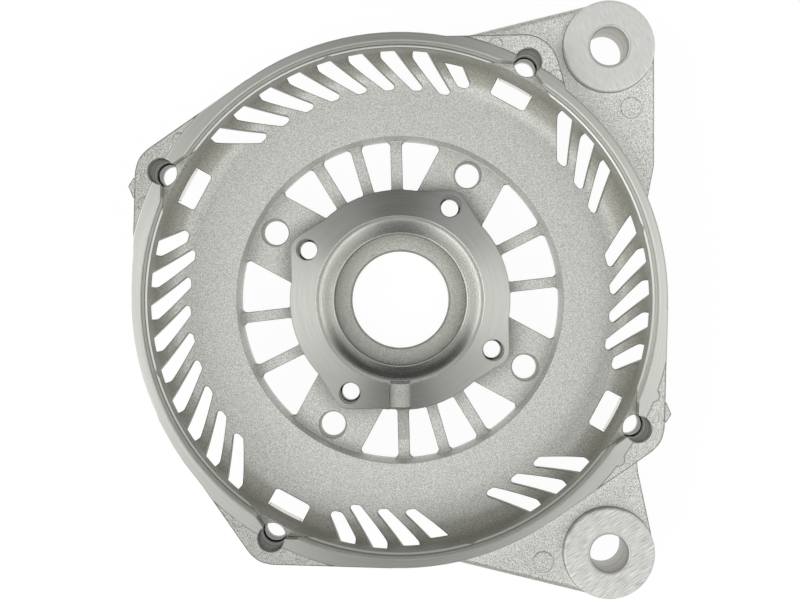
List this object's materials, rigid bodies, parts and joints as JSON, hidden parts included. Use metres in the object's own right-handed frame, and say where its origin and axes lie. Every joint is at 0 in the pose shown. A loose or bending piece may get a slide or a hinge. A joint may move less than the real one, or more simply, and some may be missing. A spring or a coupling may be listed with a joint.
{
  "type": "alternator end frame",
  "caption": "Cast aluminium end frame of a vehicle alternator: a slotted drum with a bearing hub in a vented disc, bolt bosses round its rim and two mounting ears on one side.",
  "frame": {"origin": "on the shaft axis, in the plane of the shoulder that the shaft bearing stands on", "axes": "+Z along the shaft axis towards the open side with the stator register; +X towards the side with the two mounting ears; +Y towards the ear whose through-bolt boss lies beside it"},
  "size_m": [0.1668, 0.186, 0.042],
  "materials": {
    "cast_aluminium": "shot-blasted casting with machined seats"
  },
  "bodies": {
    "root": {"end_frame": "cast_aluminium"}
  },
  "joints": []
}
